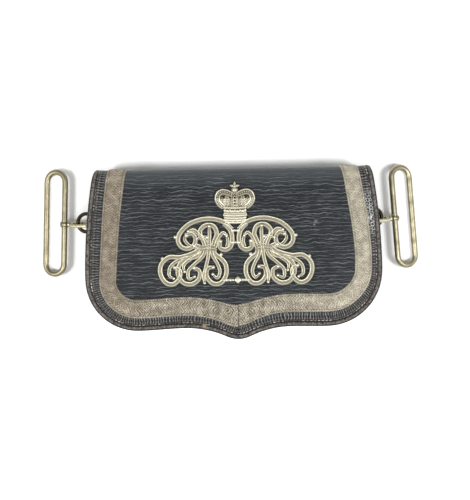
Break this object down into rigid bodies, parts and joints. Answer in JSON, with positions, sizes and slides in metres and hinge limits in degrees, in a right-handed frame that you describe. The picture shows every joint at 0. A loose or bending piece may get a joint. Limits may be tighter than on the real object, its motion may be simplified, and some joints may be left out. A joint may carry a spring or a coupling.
{
  "type": "shoulder belt pouch",
  "caption": "Flat leather flap pouch with a lace border, a raised crown and scroll badge, and a swivelling oblong belt loop at each end.",
  "frame": {"origin": "on the flat back of the pouch, below the middle of the flap", "axes": "+X across the pouch, +Y from the flap's tip to its fold, +Z out of the flap's front; the pouch lies on its back"},
  "size_m": [0.2207, 0.1002, 0.0311],
  "materials": {
    "black_leather": "black straight-grain goatskin, waxed and a little worn",
    "tarnished_lace": "woven silver wire lace, tarnished brown-grey",
    "cast_white_metal": "cast white metal with worn silver plate",
    "plated_wire": "drawn nickel silver wire, lightly tarnished"
  },
  "bodies": {
    "pouch": {"flap_and_back": "black_leather", "pocket_front": "black_leather", "pocket_gusset": "black_leather", "lace_left": "tarnished_lace", "lace_right": "tarnished_lace", "badge": "cast_white_metal", "staple_left": "plated_wire", "staple_right": "plated_wire", "swivel_left": "plated_wire", "swivel_right": "plated_wire"},
    "loop_left": {"belt_loop_left": "plated_wire"},
    "loop_right": {"belt_loop_right": "plated_wire"}
  },
  "joints": [
    {"name": "left_loop_swivel", "type": "hinge", "parent": "pouch", "child": "loop_left", "pos_m": [-0.0984, 0.0173, 0.006], "axis": [-0.933, 0.0326, -0.3584], "continuous": true},
    {"name": "right_loop_swivel", "type": "hinge", "parent": "pouch", "child": "loop_right", "pos_m": [0.0946, 0.0173, 0.00658], "axis": [0.9118, 0.0558, -0.4067], "continuous": true}
  ]
}
